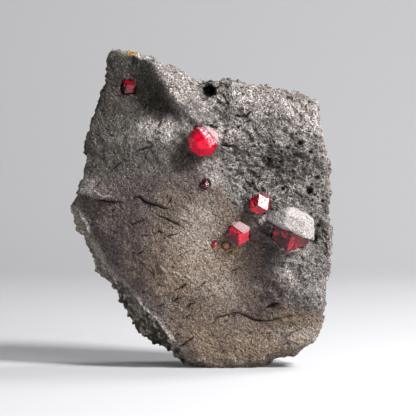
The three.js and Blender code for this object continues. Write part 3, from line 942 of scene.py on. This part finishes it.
class SpecimenRock(bpy.types.PropertyGroup):
    """Sizes and colours of the rock."""

    mesh_step: length_property("Mesh step", 0.27, "Size of the rock mesh's faces")
    rough_mesh_step: length_property("Quick mesh step", 0.55, "The same, for quick tries")
    socket_play: length_property("Socket play", 0.03, "Gap between the rock and a crystal in it")
    skin: colour_property("Skin", "#71655f", "Smooth outer skin")
    skin_dark: colour_property("Dark skin", "#5c5053", "Darker clouds in the skin")
    skin_warm: colour_property("Warm skin", "#95826f", "Skin in the middle and at the base")
    grey: colour_property("Grey skin", "#6b6661", "Skin of the upper left")
    fresh: colour_property("Fresh rock", "#9f9894", "Pale rock with gas holes")
    fresh_dark: colour_property("Grey fresh rock", "#84807d", "Darker clouds in the pale rock")
    # on the horn this dark colour is also painted shade
    weathered: colour_property("Weathered rock", "#4b4842", "Dark rock of the horn and the flank")
    # also the colour of the painted light and the painted highlights on the rims
    light: colour_property("Light rock", "#c3bcb7", "Lighter rock, also used for painted light and highlights")
    # colour of the painted shade in hollows, under ledges and beside the crystals
    dim: colour_property("Dark rock", "#4a443f", "Painted shade in hollows, under ledges and beside the crystals")
    flank: colour_property("Flank", "#c2b9aa", "Layered rock of the lower left side")
    crust: colour_property("Crust", "#96918e", "Pale crust around the crystals")
    feldspar: colour_property("Feldspar", "#c2bab3", "Light grains")
    # colour of the painted shade in the gas holes
    pit_shade: colour_property("Hollows", "#3a3633", "Painted shade in the gas holes")
    lining: colour_property("Socket lining", "#f0e6e2", "Fresh rock that the crystals sit against")
    stain: colour_property("Iron stain", "#c9973f", "Orange patch on the horn's top edge")
    # colour of the painted shade in the cracks and the vug
    shadow: colour_property("Painted crack shadow", "#0f0d0c", "Painted shade in the cracks and the vug")


class SpecimenGarnet(bpy.types.PropertyGroup):
    """Sizes and colours of the crystals."""

    edge: length_property("Edge rounding", 0.07, "Width of the wear along the crystals' edges")
    etched_edge: length_property("Worn edge rounding", 0.3, "The same, on the rounded crystals")
    swell: length_property("Swell", 0.15, "How far each face stands out from its solid")
    # also the colour of the painted light on the faces that look the bright way
    tint: colour_property("Surface tint", "#f40a38", "Colour that light takes at each face")
    veil: colour_property("Veils", "#7c0a20", "Darker veils inside")
    dull: colour_property("Dull garnet", "#a0705f", "Brown stain on the buried crystal")
    wine: colour_property("Wine", "#420d1c", "Veils inside the deep crystals")
    depth: colour_property("Depth colour", "#fb1e38", "Colour that light keeps inside")
    crust: length_property("Crust", 0.12, "Thickness of the crusts left on some crystals")
    blush: colour_property("Blush", "#c8365a", "Garnet showing through a thin crust")
    # frost lies on the faces toward the key light, so it is partly painted highlight
    frost: colour_property("Frost", "#e9c3cb", "Etched, powdery parts of a face")
    density: bpy.props.FloatProperty(
        name="Density", description="How fast light is absorbed, per metre", default=700.0, min=0)


class SpecimenStage(bpy.types.PropertyGroup):
    """The studio."""

    board: colour_property("Board", "#b9b9bb", "Colour of the floor and backdrop")
    camera_distance: length_property("Camera distance", 700, "Camera to specimen")
    camera_height: bpy.props.FloatProperty(
        name="Camera elevation", description="How far the camera looks down",
        default=math.radians(2.5), subtype="ANGLE", unit="ROTATION")


# ---- operators ---------------------------------------------------------------------------------

def grow_from_middle(solid, swell):
    """Moves every face of a crystal outwards by swell."""
    middle = sum((v.co for v in solid.verts), Vector()) / len(solid.verts)
    face = next(iter(solid.faces))
    reach = abs((face.calc_center_median() - middle).dot(face.normal))
    bmesh.ops.scale(solid, vec=(1 + swell / reach,) * 3, verts=solid.verts,
                    space=Matrix.Translation(-middle))


def grown_crystal(node, swell):
    """The crystal of a node, whole faces in place of triangles, grown by swell."""
    solid = merged_node(node)
    bmesh.ops.dissolve_limit(solid, angle_limit=math.radians(SAME_FACE), verts=solid.verts,
                             edges=solid.edges)
    grow_from_middle(solid, swell)
    return solid


class SPECIMEN_OT_rock(bpy.types.Operator):
    """Break the matrix solid into rough rock, with its cracks, holes and sockets"""

    bl_idname = "specimen.rock"
    bl_label = "Rock"

    def execute(self, context):
        settings = context.scene.specimen_rock
        rock = object_from(merged_node("matrix"), "rock")
        remesh = rock.modifiers.new("Even faces", "REMESH")
        remesh.mode = "VOXEL"
        remesh.voxel_size = settings.mesh_step
        soften = rock.modifiers.new("Soft facets", "SMOOTH")
        soften.factor = 0.5
        soften.iterations = 2
        bake_modifiers(rock)
        self.break_surface(rock.data)
        self.thin_out(rock)
        self.cut_sockets(rock, settings.socket_play + context.scene.specimen_garnet.swell)
        for name, values in rock_masks(map_of(rock.data)).items():
            mask = rock.data.attributes.new(name, "FLOAT", "POINT")
            mask.data.foreach_set("value", values.astype(np.float32))
        shade_smooth(rock.data)
        finish_piece(rock, "matrix_rock", rock_material(settings), "matrix")
        return {"FINISHED"}

    def break_surface(self, mesh):
        """Moves each point by the rock's relief and sinks the vug, but leaves the base flat."""
        rock_map = map_of(mesh)
        on_base = rock_map.z < BASE_LAYER
        height = np.where(on_base, 0, rock_relief(rock_map))
        moved = rock_map.points + rock_map.normals * height[:, None]
        moved[:, 1] += VUG["depth"] * rock_map.vug() * rock_map.front
        moved[:, 2] = np.where(on_base, 0, np.maximum(moved[:, 2], 0))
        mesh.vertices.foreach_set("co", (moved * MM).astype(np.float32).ravel())
        mesh.update()

    def thin_out(self, rock):
        """Brings the rock down to the most faces that a piece may have, mostly behind the front."""
        triangles = sum(len(face.vertices) - 2 for face in rock.data.polygons)
        if triangles > MOST_TRIANGLES:
            rock_map = map_of(rock.data)
            plain = np.maximum(rock_map.front, rock_map.flank) < 0.5
            group = rock.vertex_groups.new(name="plain")
            group.add(np.flatnonzero(plain).tolist(), 1.0, "REPLACE")
            thin = rock.modifiers.new("Fewer faces behind", "DECIMATE")
            thin.vertex_group = group.name
            thin.ratio = 1 - THINNED_BEHIND * plain.mean()
            bake_modifiers(rock)
            rock.vertex_groups.clear()
            thin = rock.modifiers.new("Fewer faces", "DECIMATE")
            thin.ratio = min(1, MOST_TRIANGLES / len(rock.data.polygons))
            bake_modifiers(rock)

    def cut_sockets(self, rock, play):
        """Cuts each crystal's own shape out of the rock, so that it sits close."""
        for node in GARNETS:
            solid = grown_crystal(node, play)
            bmesh.ops.triangulate(solid, faces=solid.faces)
            cutter = object_from(solid, "socket")
            cut = rock.modifiers.new("Socket", "BOOLEAN")
            cut.operation = "DIFFERENCE"
            cut.solver = "MANIFOLD"
            cut.object = cutter
            bake_modifiers(rock)
            bpy.data.meshes.remove(cutter.data)


class SPECIMEN_OT_garnets(bpy.types.Operator):
    """Cut the garnets as clear crystals with slightly worn edges"""

    bl_idname = "specimen.garnets"
    bl_label = "Garnets"

    def execute(self, context):
        settings = context.scene.specimen_garnet
        materials = {
            kind: garnet_material(f"{kind.capitalize()} almandine garnet", settings, look)
            for kind, look in LOOKS.items()
        }
        for node in GARNETS:
            solid = grown_crystal(node, settings.swell)
            low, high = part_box(node)
            wear = settings.etched_edge if node in ROUNDED else settings.edge
            width = min(wear, MOST_WEAR * (high - low).length)
            bmesh.ops.bevel(solid, geom=solid.edges, offset=width, offset_type="OFFSET", segments=2,
                            profile=0.5, affect="EDGES", clamp_overlap=True, material=-1)
            bmesh.ops.recalc_face_normals(solid, faces=solid.faces)
            crystal = object_from(solid, f"{node}_crystal")
            finish_piece(crystal, "garnet", materials[KINDS[node]], node)
        return {"FINISHED"}


class SPECIMEN_OT_crusts(bpy.types.Operator):
    """Leave thin crusts of white rock on two of the garnets"""

    bl_idname = "specimen.crusts"
    bl_label = "Crusts"

    def execute(self, context):
        settings = context.scene.specimen_garnet
        material = crust_material(context.scene.specimen_rock.crust, settings.blush)
        for node, planes in CRUSTS.items():
            solid = grown_crystal(node, settings.swell + settings.crust)
            middle = sum(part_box(node), Vector()) / 2
            for across, up, turn in planes:
                self.keep_side(solid, middle + Vector((across * MM, 0, up * MM)), math.radians(turn))
            bmesh.ops.recalc_face_normals(solid, faces=solid.faces)
            finish_piece(object_from(solid, f"{node}_crust"), "matrix_rock", material)
        return {"FINISHED"}

    def keep_side(self, solid, point, turn):
        """Keeps the side of a crystal that lies to a plane's front, and closes the cut."""
        made = bmesh.ops.bisect_plane(
            solid, geom=[*solid.verts, *solid.edges, *solid.faces], plane_co=point,
            plane_no=Vector((math.cos(turn), 0, math.sin(turn))), clear_inner=True)
        cut = [item for item in made["geom_cut"] if isinstance(item, bmesh.types.BMEdge)]
        bmesh.ops.holes_fill(solid, edges=cut)


class SPECIMEN_OT_stage(bpy.types.Operator):
    """Set the floor, the soft studio lights and the camera"""

    bl_idname = "specimen.stage"
    bl_label = "Stage"

    def execute(self, context):
        settings = context.scene.specimen_stage
        self.floor(settings)
        self.world(context)
        self.lights(context)
        self.camera(context, settings)
        context.scene.view_settings.view_transform = "Standard"
        return {"FINISHED"}

    def floor(self, settings):
        """A board that curves up behind the specimen."""
        bend, radius, half = BOARD["bend"], BOARD["radius"], BOARD["half"]
        profile = [(BOARD["front"], 0), (bend, 0)]
        for step in range(1, BOARD["steps"] + 1):
            turn = math.radians(90 * step / BOARD["steps"])
            profile.append((bend + radius * math.sin(turn), radius - radius * math.cos(turn)))
        profile.append((bend + radius, BOARD["top"]))
        sweep = bmesh.new()
        verts = [sweep.verts.new((-half, y, z)) for y, z in profile]
        edges = [sweep.edges.new(pair) for pair in zip(verts, verts[1:])]
        made = bmesh.ops.extrude_edge_only(sweep, edges=edges)
        moved = [item for item in made["geom"] if isinstance(item, bmesh.types.BMVert)]
        bmesh.ops.translate(sweep, verts=moved, vec=(2 * half, 0, 0))
        bmesh.ops.recalc_face_normals(sweep, faces=sweep.faces)
        board = object_from(sweep, "studio_board")
        shade_smooth(board.data)
        board.data.materials.append(board_material(settings.board))

    def world(self, context):
        """A dim, slightly cool surround."""
        world = bpy.data.worlds.new("Studio")
        world.use_nodes = True
        background = world.node_tree.nodes["Background"]
        background.inputs["Color"].default_value = rgba(WORLD["colour"])
        background.inputs["Strength"].default_value = WORLD["strength"]
        context.scene.world = world

    def lights(self, context):
        """Square soft lights, all turned to the specimen's middle."""
        target = Vector(LIT_POINT)
        bright = sum(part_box("garnet_bright"), Vector()) / 2
        place = bright + GLINT["distance"] * Vector(GLINT["way"]).normalized()
        glint = ("glint_light", place, GLINT["size"], GLINT["power"])
        for name, place, size, power in (*LIGHTS, glint):
            lamp = bpy.data.lights.new(name, "AREA")
            lamp.shape = "SQUARE"
            lamp.size = size
            lamp.energy = power
            light = bpy.data.objects.new(name, lamp)
            light.location = place
            light.rotation_euler = (target - light.location).to_track_quat("-Z", "Y").to_euler()
            context.scene.collection.objects.link(light)

    def camera(self, context, settings):
        """A long lens, a little above the specimen's middle."""
        lens = bpy.data.cameras.new("camera")
        camera = bpy.data.objects.new("camera", lens)
        context.scene.collection.objects.link(camera)
        tilt = settings.camera_height
        back = Vector((0, -math.cos(tilt), math.sin(tilt)))
        camera.location = Vector(CAMERA["aim"]) * MM + back * settings.camera_distance
        camera.rotation_euler = (-back).to_track_quat("-Z", "Y").to_euler()
        lens.sensor_width = CAMERA["sensor"]
        lens.lens = CAMERA["sensor"] * settings.camera_distance / (CAMERA["width"] * MM)
        lens.clip_start = CAMERA["nearest"]
        context.scene.camera = camera


class SPECIMEN_PT_panel(bpy.types.Panel):
    """Lists the specimen's operators and settings"""

    bl_idname = "SPECIMEN_PT_panel"
    bl_label = "Specimen"
    bl_space_type = "VIEW_3D"
    bl_region_type = "UI"
    bl_category = "Specimen"

    def draw(self, context):
        for settings, operators in STEPS.items():
            box = self.layout.box()
            for operator in operators:
                box.operator(f"specimen.{operator}")
            group = getattr(context.scene, settings)
            for name in group.__annotations__:
                box.prop(group, name)


# The operators in the order they run, by the settings that they read.
STEPS = {
    "specimen_rock": ("rock",),
    "specimen_garnet": ("garnets", "crusts"),
    "specimen_stage": ("stage",),
}

SETTINGS = {
    "specimen_rock": SpecimenRock,
    "specimen_garnet": SpecimenGarnet,
    "specimen_stage": SpecimenStage,
}

CLASSES = (
    *SETTINGS.values(),
    SPECIMEN_OT_rock,
    SPECIMEN_OT_garnets,
    SPECIMEN_OT_crusts,
    SPECIMEN_OT_stage,
    SPECIMEN_PT_panel,
)


def register():
    for cls in CLASSES:
        bpy.utils.register_class(cls)
    for name, group in SETTINGS.items():
        setattr(bpy.types.Scene, name, bpy.props.PointerProperty(type=group))


def unregister():
    for name in SETTINGS:
        delattr(bpy.types.Scene, name)
    for cls in reversed(CLASSES):
        bpy.utils.unregister_class(cls)


def main():
    register()
    for operators in STEPS.values():
        for operator in operators:
            getattr(bpy.ops.specimen, operator)()


if __name__ == "__main__":
    main()
